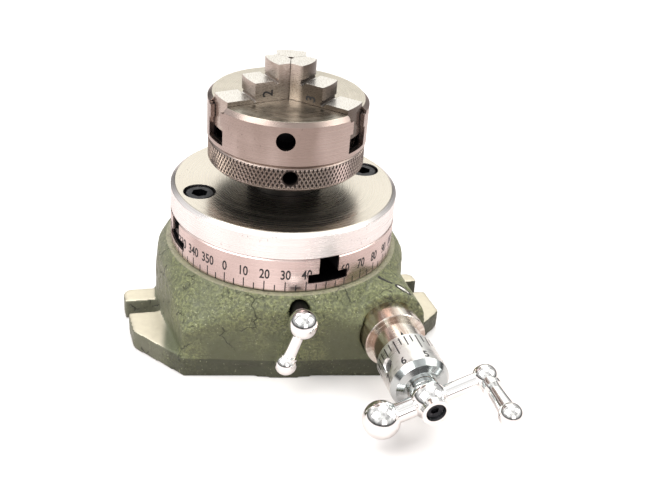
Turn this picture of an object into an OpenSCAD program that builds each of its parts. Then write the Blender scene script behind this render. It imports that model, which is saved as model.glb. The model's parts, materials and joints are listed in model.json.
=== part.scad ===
// Small worm-driven rotary table with a three-jaw scroll chuck on a backplate.
// Origin: table axis at the underside of the base. +Z up, -Y is the front, +X the worm side.
// Heights along Z are called *_z, distances along the worm axis are called *_s.

/* [Base casting] */
// Height of the clamping flange and its two lugs
flange_t = 7.5; // [6:0.5:9]
// Radius of the drum that forms the back of the casting
drum_r = 46; // [45.5:0.5:48]
// Width of the open clamping slots in the lugs
lug_slot_w = 7.6; // [6:0.2:8.4]
// Y at which the line through both clamping slots passes the middle
lug_slot_y = -3.3; // [-6:0.1:0]
// Turn of the line through both slots from the X axis
lug_turn = 8.4; // [0:0.1:12]

/* [Table] */
// Diameter of the table
table_d = 80; // [80:0.1:80.2]
// Thickness of the table above its underside
table_t = 12; // [11:0.5:14]
// Width of the T-slot neck
t_neck_w = 7; // [6:0.1:8]
// Width of the wide part of the T-slot
t_wide_w = 14.3; // [13:0.1:15]
// Azimuth of the first T-slot
t_slot_az = 19.6; // [0:0.1:45]

/* [Worm drive] */
// Gear module of the worm and wheel
gear_module = 1; // [1]
// Number of teeth on the worm wheel
wheel_teeth = 45; // [45]
// Pitch radius of the worm
worm_pitch_r = 6; // [5.8:0.1:6.2]
// Angle that the worm axis is swung outward from the front direction
worm_swing = 10; // [10]

/* [Chuck] */
// Outside diameter of the chuck body
chuck_d = 54.8; // [54:0.2:56]
// Width of the jaws
jaw_w = 9.8; // [9:0.1:10]
// Pitch of the scroll
scroll_pitch = 3; // [3]
// Azimuth of jaw 1
jaw_az = 85; // [60:1:120]

/* [Crank and lever] */
// Distance from the crank hub to the handle
crank_r = 19; // [17:0.5:20]
// Tilt of the crank arms about the worm axis
crank_tilt = 20.5; // [0:0.5:30]
// Length of the locking lever, from screw axis to end ball
lever_l = 16.3; // [14:0.1:18]
// Lean of the locking lever from straight down
lever_lean = 17.8; // [0:0.1:30]

/* [Hidden] */
$fn = 64;
e = 0.01;          // how far a cut runs past the face it opens

// heights of the stack on the table axis
web_lo_z = 6.5;    // underside of the web that carries the spindle bush
web_hi_z = 12;     // top of that web, floor of the wheel chamber
skirt_lo_z = 25;   // underside of the table skirt
rim_z = 32.7;      // top of the casting rim
table_z = 33;      // underside of the table
table_top_z = table_z + table_t;
plate_t = 9.5;
plate_top_z = table_top_z + plate_t;
boss_top_z = plate_top_z + 6.5;
cover_t = 1.7;
ring_lo_z = boss_top_z + cover_t + 0.2;
ring_hi_z = ring_lo_z + 9.1;
body_lo_z = ring_hi_z + 0.3;
chuck_face_z = body_lo_z + 14.9;

// casting
rim_r = 41.8;
shoulder_r = 44.8;
shoulder_z = 28.4;
skirt_r = 34;
chamber_r = 26;
run_fit = 0.05;    // radial clearance of a running fit
recess_r = 18;

// worm axis
wheel_pitch_r = gear_module * wheel_teeth / 2;
worm_a = wheel_pitch_r + worm_pitch_r;
worm_z = 17.5;
boss_r = 13.5;
boss_s = 43.2;     // front face of the worm boss
sleeve_flange_s = 51.4;
sleeve_flange_r = 10.6;
sleeve_collar_s = 60.8;
sleeve_collar_r = 8.7;
sleeve_bore_r = 5.05;
sleeve_tail_s = 17;
sleeve_tail_r = 7.1;
worm_half_l = 11;
set_screw_r = 1.5;
sleeve_screw_a = -50;  // turn of the sleeve screw about the worm axis, from level
dial_lo_s = sleeve_collar_s + 0.3;
dial_hi_s = 77.4;
dial_r = 9.9;
dial_screw_a = -111;    // turn of the dial's set screw about the worm axis, from straight down
hub_s = 82.8;      // centre of the crank hub ball
hub_r = 6.1;
hub_nose_l = 6.3;
shaft_r = 5;
shaft_nose_r = 4;

// locking screw
lock_az = -84.8;
lock_z = 28;
lock_head_r = 51.6; // distance of the ball head from the table axis
lock_head_ball_r = 5;
lever_ball_r = 3.75;

// chuck
nose_r = 7;
hub_out_r = 12.5;
slot_w = jaw_w + 0.4;
opening_lo_z = body_lo_z + 1.7;  // floor of the opening under each jaw
jaw_lo_z = body_lo_z + 5.6;
rail_lo_z = body_lo_z + 8.4;     // rails of the body that guide the jaws
rail_hi_z = body_lo_z + 12.9;
rail_w = 1.4;
rail_gap = 0.3;                  // room round a rail in the jaw's groove
jaw_outer_r = 25.7;
jaw_tip = 0.12;    // half of the gap between closed jaws, measured along the jaw
jaw_steps = [[8, 99.4], [16, 94], [jaw_outer_r, 88.8]];
step_arc_r = 14;
ridge_w = 1.2;
scroll_r0 = 13.8;
scroll_turns = 3.4;
ridge_hi_z = ring_hi_z + 3.6;
tooth_w = 1.1;
tooth_lo_z = ring_hi_z + 2.2;
key_hole_az = -95;

// ---------------------------------------------------------------- helpers

// A frame on the worm axis: local +Z runs outward to the crank, local +Y away from the table
module on_worm(s = 0) {
    rotate([0, 0, worm_swing]) translate([worm_a, 0, worm_z])
        rotate([0, 90, -90]) translate([0, 0, s]) children();
}

// A cylinder on the worm axis between two stations
module worm_cyl(from_s, to_s, r1, r2 = undef) {
    on_worm(from_s) cylinder(h = to_s - from_s, r1 = r1, r2 = is_undef(r2) ? r1 : r2);
}

// A frame on the locking screw: local +Z points outward from the table axis
module on_lock(r = 0) {
    rotate([0, 0, lock_az]) translate([r, 0, lock_z]) rotate([0, 90, 0]) children();
}

// A frame on the sleeve's set screw: local +Z points out of the boss, up and away from the table
module on_sleeve_screw() {
    on_worm(36.5) rotate([0, 0, -sleeve_screw_a]) rotate([-90, 0, 0]) translate([0, 0, 6.5]) children();
}

// A frame on the dial's set screw: local +Z points out of the dial
module on_dial_screw() {
    on_worm(68.2) rotate([0, 0, dial_screw_a]) rotate([0, 90, 0]) children();
}

// A vertical cylinder between two heights
module tube_z(lo, hi, r) {
    translate([0, 0, lo]) cylinder(h = hi - lo, r = r);
}

// Copies of a child turned about Z
module ring_of(n, first = 0) {
    for (i = [0:n - 1]) rotate([0, 0, first + i * 360 / n]) children();
}

// Socket head cap screw standing on z = 0 (underside of the head), shank downward
module cap_screw(d, l, head_d, head_h, af) {
    difference() {
        union() {
            translate([0, 0, -l]) cylinder(h = l + e, d = d);
            cylinder(h = head_h - 0.4, d = head_d);
            translate([0, 0, head_h - 0.4]) cylinder(h = 0.4, d1 = head_d, d2 = head_d - 0.8);
        }
        translate([0, 0, head_h * 0.45]) cylinder(h = head_h, d = af / cos(30), $fn = 6);
    }
}

// Headless grub screw from z = 0 to z = l with a hexagon socket in its top
module grub_screw(d, l, af) {
    difference() {
        cylinder(h = l, d = d);
        translate([0, 0, l * 0.5]) cylinder(h = l, d = af / cos(30), $fn = 6);
    }
}

// ---------------------------------------------------------------- base

module flange_plan() {
    // the clamping lugs sit a little askew to the front face
    hull() {
        for (m = [-1, 1]) translate([m * 33.4, -40.2]) circle(r = 2, $fn = 32);
        translate([-47.6, -23.6]) circle(r = 5, $fn = 32);
        translate([-54, -2.7]) circle(r = 3.5, $fn = 32);
        translate([57.6, -11.5]) circle(r = 2, $fn = 32);
        translate([51.5, 11]) circle(r = 3, $fn = 32);
    }
    translate([0, 2.5]) circle(r = drum_r);
}

module casting_shell() {
    linear_extrude(flange_t) flange_plan();
    hull() {
        for (m = [-1, 1]) translate([m * 33, -39.8, 5]) cylinder(h = 12, r = 1.8, $fn = 24);
        translate([0, 2.5, 5]) cylinder(h = 13, r = drum_r - 0.2, $fn = 72);
        tube_z(26, shoulder_z, shoulder_r);
        tube_z(rim_z - 2, rim_z, rim_r);
    }
    // worm housing, its fairing up to the rim and its foot on the flange
    worm_cyl(0, boss_s, boss_r);
    hull() {
        worm_cyl(22, boss_s - 3, boss_r - 0.4);
        rotate([0, 0, -38]) translate([30, 0, 20]) cylinder(h = rim_z - 20.6, r = 9, $fn = 32);
    }
    hull() {
        worm_cyl(22, boss_s - 1, boss_r - 1.5);
        translate([31, -30, 0]) cylinder(h = flange_t, r = 8.5, $fn = 32);
    }
}

module base_casting() color("darkolivegreen") difference() {
    casting_shell();
    // room for the spindle nut, the bush, the wheel and the table skirt
    translate([0, 0, -e]) cylinder(h = web_lo_z + e, r = recess_r);
    tube_z(-e, web_hi_z + e, 12.5);
    tube_z(web_hi_z, skirt_lo_z, chamber_r);
    tube_z(skirt_lo_z - 0.3, rim_z + 1, skirt_r + run_fit);
    // worm tunnel, rear journal and sleeve bore
    worm_cyl(-14, sleeve_tail_s + 1, 7.7);
    worm_cyl(-21, -13, 4 + run_fit);
    worm_cyl(sleeve_tail_s, boss_s + 2, sleeve_tail_r);
    // spot face in front of the boss, which clears the sleeve
    worm_cyl(boss_s, sleeve_flange_s, sleeve_flange_r + 0.3);
    // locking screw: threaded part, then the counterbore that shows in front
    on_lock(skirt_r - 1) cylinder(h = 14, r = 3);
    on_lock(41.5) cylinder(h = 8, r = 3.5);
    // open slots in the lugs
    translate([0, lug_slot_y, -e]) for (turn = [0, 180]) rotate([0, 0, lug_turn + turn]) {
        translate([46.5, 0, 0]) cylinder(h = flange_t + 2 * e, d = lug_slot_w);
        translate([46.5, -lug_slot_w / 2, 0]) cube([20, lug_slot_w, flange_t + 2 * e]);
    }
    on_sleeve_screw() cylinder(h = 12, r = set_screw_r);
}

// ---------------------------------------------------------------- table and its spindle

module t_slot(len = 30) {
    translate([14, -t_neck_w / 2, table_z + 6]) cube([len, t_neck_w, table_t]);
    translate([14, -t_wide_w / 2, table_z + 3]) cube([len, t_wide_w, 3.4]);
}

module rotary_table() color("silver") difference() {
    union() {
        rotate_extrude() polygon([[0, table_z], [table_d / 2 - 0.3, table_z], [table_d / 2, table_z + 0.3],
            [table_d / 2, table_top_z - 0.4], [table_d / 2 - 0.4, table_top_z], [0, table_top_z]]);
        tube_z(skirt_lo_z, table_z + e, skirt_r);
    }
    tube_z(skirt_lo_z - 1, table_top_z + 1, 10);
    ring_of(4, t_slot_az) t_slot();
    ring_of(3, 20) translate([14, 0, skirt_lo_z - e]) cylinder(h = 6, r = 2);
}

module spindle() color("gainsboro") difference() {
    union() {
        tube_z(6.1, 40, 10);
        tube_z(22.2, skirt_lo_z, 17);
        tube_z(2, 6.2, 9);
    }
    tube_z(0, 41, 5);
    ring_of(3, 20) translate([14, 0, 22]) cylinder(h = 4, r = 2);
}

module spindle_bush() color("peru") difference() {
    union() {
        tube_z(web_lo_z, web_hi_z + e, 12.5);
        tube_z(web_hi_z, web_hi_z + 0.8, 17);
    }
    tube_z(web_lo_z - 1, web_hi_z + 2, 10 + run_fit);
}

module spindle_washer() color("darkgray") difference() {
    tube_z(5.2, 6.1, 15);
    tube_z(5, 6.5, 9);
}

module spindle_nut() color("dimgray") difference() {
    tube_z(1.6, 5.2, 14);
    tube_z(1, 6, 9);
    ring_of(4, 45) translate([13, -1.5, 1]) cube([3, 3, 5]);
}

// One gap of the wheel, straight sided and tilted by the lead angle
module wheel_gap(lead_angle) {
    half_w = PI * gear_module / 4 + 0.12;
    depth = 1.25 * gear_module + 0.1;
    flank = tan(22.5);
    rotate([-lead_angle, 0, 0]) translate([0, 0, -8]) linear_extrude(16) polygon([
        [wheel_pitch_r - depth, -half_w + depth * flank], [wheel_pitch_r + 2, -half_w - 2 * flank],
        [wheel_pitch_r + 2, half_w + 2 * flank], [wheel_pitch_r - depth, half_w - depth * flank]]);
}

module worm_wheel() color("goldenrod") {
    lead_angle = atan(gear_module / (2 * worm_pitch_r));
    difference() {
        tube_z(13, 22.2, wheel_pitch_r + gear_module);
        tube_z(12, 23, 10);
        translate([0, 0, worm_z]) ring_of(wheel_teeth, worm_swing) wheel_gap(lead_angle);
        ring_of(3, 20) translate([14, 0, 12.9]) {
            cylinder(h = 10, r = 2);
            cylinder(h = 4.1, r = 3.6);
        }
    }
}

module wheel_screws() color("black") ring_of(3, 20)
    translate([14, 0, 17]) rotate([180, 0, 0]) cap_screw(4, 13, 7, 3.4, 3);

// ---------------------------------------------------------------- worm shaft

// Right-hand single-start thread as a swept trapezoid, meshing at local angle -90
function thread_ring(a, lead, w_root, w_tip, r_root, r_tip) = let (s = lead * (a + 90) / 360) [
    [r_root * cos(a), r_root * sin(a), s - w_root], [r_tip * cos(a), r_tip * sin(a), s - w_tip],
    [r_tip * cos(a), r_tip * sin(a), s + w_tip], [r_root * cos(a), r_root * sin(a), s + w_root]];

module worm_thread() {
    lead = PI * gear_module;
    flank = tan(20);
    tip_r = worm_pitch_r + gear_module;
    root_r = worm_pitch_r - 1.25 * gear_module - 0.2;
    half_pitch_w = lead / 4 - 0.06;
    w_tip = half_pitch_w - (tip_r - worm_pitch_r) * flank;
    w_root = half_pitch_w + (worm_pitch_r - root_r) * flank;
    step = 15;
    turn_a = 360 * (worm_half_l - 1.6) / lead;
    angles = [for (a = [-90 - turn_a:step:-90 + turn_a]) a];
    rings = [for (a = angles) thread_ring(a, lead, w_root, w_tip, root_r, tip_r)];
    n = len(rings);
    points = [for (r = rings) each r];
    sides = [for (i = [0:n - 2], j = [0:3]) each let (k = 4 * i + j, l = 4 * i + (j + 1) % 4)
        [[k, l, k + 4], [l, l + 4, k + 4]]];
    polyhedron(points, concat([[3, 2, 1, 0]], sides, [[4 * n - 4, 4 * n - 3, 4 * n - 2, 4 * n - 1]]));
}

module worm_shaft() color("lightsteelblue") {
    root_r = worm_pitch_r - 1.25 * gear_module;
    difference() {
        union() {
            worm_cyl(-20, -12, 4);
            worm_cyl(-12, worm_half_l + 1, root_r);
            worm_cyl(worm_half_l, 15.5, 7);
            worm_cyl(15.4, dial_hi_s, shaft_r);
            worm_cyl(dial_hi_s - e, hub_s + 3, shaft_nose_r);
        }
        worm_cyl(hub_s - 6, hub_s + 4, 1.5);
    }
    on_worm() worm_thread();
}

module worm_thrust_washer() color("peru") difference() {
    worm_cyl(15.7, sleeve_tail_s - 0.3, 7.1);
    worm_cyl(15, sleeve_tail_s, 5.3);
}

module worm_sleeve() color("silver") difference() {
    union() {
        worm_cyl(sleeve_tail_s, boss_s + e, sleeve_tail_r);
        worm_cyl(boss_s, sleeve_flange_s - 0.3, sleeve_flange_r);
        worm_cyl(sleeve_flange_s - 0.3, sleeve_flange_s, sleeve_flange_r, sleeve_flange_r - 0.3);
        worm_cyl(sleeve_flange_s - e, sleeve_collar_s, sleeve_collar_r);
    }
    worm_cyl(sleeve_tail_s - 1, sleeve_collar_s + 1, sleeve_bore_r);
    // dimple that the set screw bears in
    on_sleeve_screw() cylinder(h = 3, r = set_screw_r);
}

// The screw that holds the sleeve ends below the surface of the boss
module sleeve_set_screw() color("black") on_sleeve_screw() {
    cylinder(h = 3.4, r = set_screw_r);
    translate([0, 0, 2.8]) grub_screw(set_screw_r * 2, 3, 1.5);
}

module graduated_dial() color("gainsboro") difference() {
    union() {
        worm_cyl(dial_lo_s, dial_hi_s - 3, dial_r);
        worm_cyl(dial_hi_s - 3, dial_hi_s - 0.9, dial_r, dial_r - 1.3);
        worm_cyl(dial_hi_s - 0.9, dial_hi_s, dial_r - 1.3, dial_r - 3.4);
    }
    worm_cyl(dial_lo_s - 1, dial_hi_s + 1, shaft_r + run_fit);
    on_dial_screw() {
        cylinder(h = 12, r = 2);
        translate([0, 0, dial_r - 0.9]) cylinder(h = 1, r1 = 2, r2 = 2.6);
    }
}

module dial_set_screw() color("black") on_dial_screw() translate([0, 0, shaft_r + 0.1])
    grub_screw(4, 3, 2);

// ---------------------------------------------------------------- crank

// A frame on the crank hub: local +X along the arm towards the handle, local +Z outward
module on_crank() {
    on_worm(hub_s) rotate([0, 0, 90 + crank_tilt]) children();
}

module crank_arm() color("whitesmoke") difference() {
    on_crank() {
        sphere(r = hub_r);
        translate([0, 0, -5.2]) cylinder(h = 3, r = 4.9);
        cylinder(h = hub_nose_l, r = 4.5);
        rotate([0, 90, 0]) cylinder(h = crank_r, r = 2.6);
        translate([crank_r, 0, 0]) sphere(r = 4.1);
        translate([crank_r, 0, 2.6]) cylinder(h = 1.9, r = 2.7);
        rotate([0, -90, 0]) cylinder(h = 16, r = 3.2);
        translate([-16, 0, 0]) sphere(r = hub_r);
    }
    worm_cyl(hub_s - 7, hub_s + 3, shaft_nose_r);
    worm_cyl(hub_s + 2, hub_s + 8, 3.25);
    on_crank() {
        translate([crank_r, 0, -5]) cylinder(h = 12, r = 1.5);
        rotate([90, 0, 0]) translate([0, 0, 3]) cylinder(h = 4, r = 1.25);
    }
}

module crank_pin() color("black") on_crank() rotate([90, 0, 0]) translate([0, 0, 4.1])
    grub_screw(2.5, 1.7, 1.3);

module crank_screw() color("black") on_worm(hub_s + 3) cap_screw(3, 7, 6.2, 2, 2.5);

module handle_pin() color("lightgray") on_crank() translate([crank_r, 0, 0]) {
    translate([0, 0, -3.6]) cylinder(h = 21, r = 1.5);
    translate([0, 0, 17.3]) cylinder(h = 1.4, r = 2.3);
}

module crank_handle() color("whitesmoke") on_crank() translate([crank_r, 0, 0]) difference() {
    union() {
        translate([0, 0, 4.8]) cylinder(h = 1.8, r = 3.4);
        translate([0, 0, 6.5]) cylinder(h = 10, r1 = 2.4, r2 = 2.9);
        translate([0, 0, 18.6]) sphere(r = 3.9);
    }
    translate([0, 0, 4]) cylinder(h = 13, r = 1.5 + run_fit);
    translate([0, 0, 16.9]) cylinder(h = 2.1, r = 2.6);
}

// ---------------------------------------------------------------- table lock

module lock_screw() color("whitesmoke") {
    on_lock(skirt_r + 2.6) cylinder(h = lock_head_r - skirt_r - 4, r = 3 - run_fit);
    on_lock(lock_head_r - 5.2) cylinder(h = 2.4, r = 3.3);
    on_lock(lock_head_r) sphere(r = lock_head_ball_r);
}

// The stem leaves the ball head towards the lower left and ends in a smaller ball
module lock_lever() color("whitesmoke") difference() {
    on_lock(lock_head_r) rotate([0, 0, -lever_lean]) rotate([0, 90, 0]) {
        translate([0, 0, 3]) cylinder(h = lever_l - 3, r1 = 2, r2 = 2.2);
        translate([0, 0, lever_l]) sphere(r = lever_ball_r);
        translate([0, 0, lever_l - 3.8]) cylinder(h = 0.9, r = 2.9);
    }
    on_lock(lock_head_r) sphere(r = lock_head_ball_r);
}

module lock_pad() color("goldenrod") on_lock(skirt_r + 0.3) cylinder(h = 2.1, r = 2.8);

// ---------------------------------------------------------------- backplate

module backplate() color("lightgray") difference() {
    union() {
        rotate_extrude() polygon([[0, table_top_z], [table_d / 2 - 0.5, table_top_z],
            [table_d / 2 - 0.1, table_top_z + 0.4], [table_d / 2 - 0.1, plate_top_z - 1.1],
            [38.3, plate_top_z], [0, plate_top_z]]);
        tube_z(table_top_z - 4, table_top_z + e, 10 - 0.02);
        tube_z(plate_top_z - e, boss_top_z, 13);
        tube_z(boss_top_z - e, boss_top_z + 12, nose_r);
    }
    tube_z(0, 100, 4);
    ring_of(2, t_slot_az) translate([31.4, 0, 0]) {
        tube_z(table_top_z - 1, plate_top_z + 1, 3.3);
        tube_z(plate_top_z - 6.4, plate_top_z + 1, 5.6);
    }
}

module backplate_screws() color("black") ring_of(2, t_slot_az)
    translate([31.4, 0, plate_top_z - 6.4]) cap_screw(6, 10.6, 9.8, 6, 5);

module t_nuts() color("darkgray") ring_of(2, t_slot_az) translate([31.4, 0, 0]) difference() {
    union() {
        translate([-6.5, -6.9, table_z + 3.3]) cube([13, 13.8, 2.9]);
        translate([-6.5, -3.35, table_z + 6]) cube([13, 6.7, 3]);
    }
    tube_z(table_z, table_top_z, 3);
}

// ---------------------------------------------------------------- chuck

module chuck_body() color("lightgray") difference() {
    union() {
        rotate_extrude() polygon([[0, body_lo_z], [chuck_d / 2 - 0.3, body_lo_z],
            [chuck_d / 2, body_lo_z + 0.3], [chuck_d / 2, chuck_face_z - 1.4],
            [chuck_d / 2 - 1.5, chuck_face_z], [0, chuck_face_z]]);
        tube_z(boss_top_z + cover_t, body_lo_z + e, hub_out_r);
    }
    tube_z(boss_top_z, boss_top_z + 12.1, nose_r);
    tube_z(boss_top_z + 12, 100, 5);
    // annular room for the scroll ridge
    difference() {
        tube_z(body_lo_z - e, body_lo_z + 3.9, 25);
        tube_z(body_lo_z - 1, body_lo_z + 5, hub_out_r);
    }
    ring_of(3, jaw_az) jaw_slot();
    // key holes and the tapped holes for the cover screws
    ring_of(3, key_hole_az) translate([0, 0, body_lo_z + 8.7]) rotate([0, 90, 0])
        translate([0, 0, 20]) cylinder(h = 9, r = 3.15);
    ring_of(3, 0) translate([9.8, 0, boss_top_z]) cylinder(h = 6, r = 1);
}

// Radial slot with a guide rail on each side and a small relief bore above each rail
module jaw_slot() {
    difference() {
        translate([0, -slot_w / 2, opening_lo_z]) cube([30, slot_w, 20]);
        for (m = [-1, 1]) translate([0, m * slot_w / 2 - (m > 0 ? rail_w : 0), rail_lo_z])
            cube([31, rail_w, rail_hi_z - rail_lo_z]);
    }
    for (m = [-1, 1]) translate([nose_r, m * slot_w / 2, rail_hi_z + 0.5]) rotate([0, 90, 0])
        cylinder(h = 25, r = 0.5);
}

module jaw_plan(r_out, r_arc) {
    intersection() {
        polygon([[jaw_tip, 0], [jaw_tip + jaw_w / 2 / tan(60), jaw_w / 2], [r_out, jaw_w / 2],
            [r_out, -jaw_w / 2], [jaw_tip + jaw_w / 2 / tan(60), -jaw_w / 2]]);
        translate([r_out - r_arc, 0]) circle(r = r_arc);
    }
}

// Rounded slot that runs inward and down at 45 degrees from the corner of a step
module relief_cut() rotate([0, 0, -135]) linear_extrude(40) {
    translate([-0.6, -0.65]) square([1.3, 1.3]);
    translate([-0.6, 0]) circle(r = 0.65);
    translate([0.7, 0]) circle(r = 0.65);
}

// Jaw at azimuth 0, closed; az_chuck is where it sits on the scroll
module jaw(az_chuck) difference() {
    union() {
        translate([0, 0, jaw_lo_z]) linear_extrude(jaw_steps[2][1] - jaw_lo_z)
            jaw_plan(jaw_outer_r, 27);
        for (i = [0:1]) translate([0, 0, jaw_lo_z + 3]) linear_extrude(jaw_steps[i][1] - jaw_lo_z - 3)
            jaw_plan(jaw_steps[i][0], i == 0 ? step_arc_r : 20);
        // teeth that drop between the turns of the scroll
        for (m = [0:2]) let (r = scroll_r0 + scroll_pitch * (m + 0.5 + 1 - az_chuck / 360))
            intersection() {
                translate([0, 0, tooth_lo_z]) difference() {
                    cylinder(h = jaw_lo_z - tooth_lo_z + e, r = r + tooth_w / 2);
                    translate([0, 0, -1]) cylinder(h = 10, r = r - tooth_w / 2);
                }
                translate([0, -3, 0]) cube([40, 6, 200]);
            }
    }
    // centre hole, guide grooves and the slanting relief cuts at the roots of the steps
    cylinder(h = 200, r = 0.9);
    for (m = [-1, 1]) translate([-1, m * (jaw_w / 2 + 1) - (m > 0 ? rail_w + 1.2 : 0), rail_lo_z - rail_gap])
        cube([40, rail_w + 1.2, rail_hi_z - rail_lo_z + 2 * rail_gap]);
    for (i = [0:1]) translate([jaw_steps[i][0], 20, jaw_steps[i + 1][1]]) rotate([90, 0, 0])
        relief_cut();
}

module place_jaw(i) rotate([0, 0, jaw_az + 120 * i]) jaw((jaw_az + 120 * i) % 360);

module jaw_1() color("lightgray") place_jaw(0);
module jaw_2() color("lightgray") place_jaw(1);
module jaw_3() color("lightgray") place_jaw(2);

// Flat spiral ridge; its radius grows clockwise, so turning it anticlockwise opens the jaws
module scroll_ridge() {
    step = 10;
    last = 360 * scroll_turns;
    outer = [for (a = [0:step:last]) let (r = scroll_r0 + scroll_pitch * a / 360 + ridge_w / 2)
        [r * cos(-a), r * sin(-a)]];
    inner = [for (a = [last:-step:0]) let (r = scroll_r0 + scroll_pitch * a / 360 - ridge_w / 2)
        [r * cos(-a), r * sin(-a)]];
    translate([0, 0, ring_hi_z - 0.5]) linear_extrude(ridge_hi_z - ring_hi_z + 0.5)
        polygon(concat(outer, inner));
}

module scroll_ring() color("silver") {
    difference() {
        rotate_extrude() polygon([[hub_out_r + run_fit, ring_lo_z], [25.7, ring_lo_z],
            [26.7, ring_lo_z + 1], [26.7, ring_hi_z - 0.8], [25.9, ring_hi_z],
            [hub_out_r + run_fit, ring_hi_z]]);
        ring_of(3, -90.6) translate([0, 0, ring_lo_z + 5.1]) rotate([0, 90, 0])
            translate([0, 0, 18]) cylinder(h = 10, r = 2.45);
    }
    scroll_ridge();
}

module chuck_cover() color("dimgray") difference() {
    tube_z(boss_top_z, boss_top_z + cover_t, 19);
    tube_z(boss_top_z - 1, boss_top_z + 3, nose_r);
    ring_of(3, 0) translate([9.8, 0, boss_top_z - 1]) cylinder(h = 4, r = 1);
    ring_of(3, 0) translate([9.8, 0, boss_top_z - e]) cylinder(h = 1 + e, r1 = 1.93, r2 = 1.03);
}

module cover_screws() color("black") ring_of(3, 0) translate([9.8, 0, boss_top_z]) {
    cylinder(h = 1, r1 = 1.9, r2 = 1);
    cylinder(h = 5.5, r = 1);
}

base_casting();
rotary_table();
spindle();
spindle_bush();
spindle_washer();
spindle_nut();
worm_wheel();
wheel_screws();
worm_shaft();
worm_sleeve();
worm_thrust_washer();
sleeve_set_screw();
graduated_dial();
dial_set_screw();
crank_arm();
crank_pin();
crank_screw();
crank_handle();
handle_pin();
lock_screw();
lock_lever();
lock_pad();
backplate();
backplate_screws();
t_nuts();
chuck_body();
scroll_ring();
jaw_1();
jaw_2();
jaw_3();
chuck_cover();
cover_screws();
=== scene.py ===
"""Looks of a small rotary table with a scroll chuck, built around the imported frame.

Lengths are metres in the row frame; MM turns millimetres into them. Angles are degrees until used.
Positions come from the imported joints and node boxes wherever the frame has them.
"""

import json
import math

import bmesh
import bpy
from mathutils import Matrix, Vector, noise
from mathutils.bvhtree import BVHTree


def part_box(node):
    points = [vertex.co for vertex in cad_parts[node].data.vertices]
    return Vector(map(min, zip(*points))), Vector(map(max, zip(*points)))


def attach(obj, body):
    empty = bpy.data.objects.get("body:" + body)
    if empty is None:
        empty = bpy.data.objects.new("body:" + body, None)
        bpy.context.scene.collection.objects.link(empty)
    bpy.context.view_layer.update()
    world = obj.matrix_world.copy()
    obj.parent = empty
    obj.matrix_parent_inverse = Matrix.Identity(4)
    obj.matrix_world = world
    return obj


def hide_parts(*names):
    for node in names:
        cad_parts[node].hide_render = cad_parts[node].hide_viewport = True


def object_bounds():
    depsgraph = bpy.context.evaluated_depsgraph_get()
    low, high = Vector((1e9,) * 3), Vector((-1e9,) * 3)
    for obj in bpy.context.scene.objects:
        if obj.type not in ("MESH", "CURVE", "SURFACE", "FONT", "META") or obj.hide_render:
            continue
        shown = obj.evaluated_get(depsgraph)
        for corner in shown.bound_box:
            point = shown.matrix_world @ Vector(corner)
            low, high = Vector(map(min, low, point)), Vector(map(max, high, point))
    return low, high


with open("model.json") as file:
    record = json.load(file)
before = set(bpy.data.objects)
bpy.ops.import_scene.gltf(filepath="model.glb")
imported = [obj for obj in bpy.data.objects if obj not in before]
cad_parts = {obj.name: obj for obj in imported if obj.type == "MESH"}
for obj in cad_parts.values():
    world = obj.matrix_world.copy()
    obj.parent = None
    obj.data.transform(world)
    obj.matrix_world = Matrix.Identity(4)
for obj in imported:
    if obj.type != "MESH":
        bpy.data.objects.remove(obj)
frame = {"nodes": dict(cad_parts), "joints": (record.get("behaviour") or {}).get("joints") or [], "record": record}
CAD_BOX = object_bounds()

MM = 0.001
UP = Vector((0, 0, 1))
ORIGIN = Vector((0, 0, 0))
JOINTS = {joint["name"]: joint for joint in frame["joints"]}

# The worm axis: its foot beside the table axis, the way out to the crank, and away from the table
WORM_FOOT = Vector(JOINTS["worm_spin"]["pos_m"])
WORM_OUT = Vector(JOINTS["worm_spin"]["axis"]).normalized()
WORM_SIDE = Vector((-WORM_OUT.y, WORM_OUT.x, 0))
LOCK_POINT = Vector(JOINTS["lock_turn"]["pos_m"])
LOCK_OUT = Vector(JOINTS["lock_turn"]["axis"]).normalized()


def reach(node, foot, axis):
    """Lowest and highest station of a CAD node's vertices along an axis."""
    stations = [(v.co - foot).dot(axis) for v in frame["nodes"][node].data.vertices]
    return min(stations), max(stations)


# Heights and radii, read from the frame where it has them
TABLE_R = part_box("rotary_table")[1].x
TABLE_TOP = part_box("rotary_table")[1].z
PLATE_T = 9.5 * MM
PLATE_TOP = TABLE_TOP + PLATE_T
PLATE_BOSS_R = 13.2 * MM
RING_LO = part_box("scroll_ring")[0].z
RING_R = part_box("scroll_ring")[1].y
CHUCK_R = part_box("chuck_body")[1].x
CHUCK_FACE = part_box("chuck_body")[1].z
CASTING_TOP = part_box("base_casting")[1].z
DIAL_LO, DIAL_HI = reach("graduated_dial", WORM_FOOT, WORM_OUT)
DIAL_CONE_L = 3.0 * MM
SLEEVE_HI = reach("worm_sleeve", WORM_FOOT, WORM_OUT)[1]

# The casting's flange: its thickness, and how far out its bare lugs and its left flank begin
FLANGE_T = 7.5 * MM
LUG_X = 40 * MM
FLANK_X = -37 * MM

# The scale round the table, and the mouths of the T-slots that it stops at
SCALE_LO = 33.3 * MM
SHORT_TICK_HI = 35.6 * MM
LONG_TICK_HI = 36.8 * MM
TICK_W = 0.38 * MM
NUMBER_Z = 39.5 * MM
NUMBER_H = 3.6 * MM
NUMBER_SQUEEZE = 0.72
ZERO_AZ = -121.46
SLOT_AZ = 19.6
SLOT_NECK = 7.0 * MM
SLOT_WIDE = 14.3 * MM
SLOT_FLOOR_Z = 36 * MM
SLOT_LIP_Z = 39.4 * MM

# Marks stand this much proud of the steel and reach this much into it
PROUD = 0.02 * MM
SUNK = 0.12 * MM


# ------------------------------------------------------------------ camera, floor and light

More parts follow.
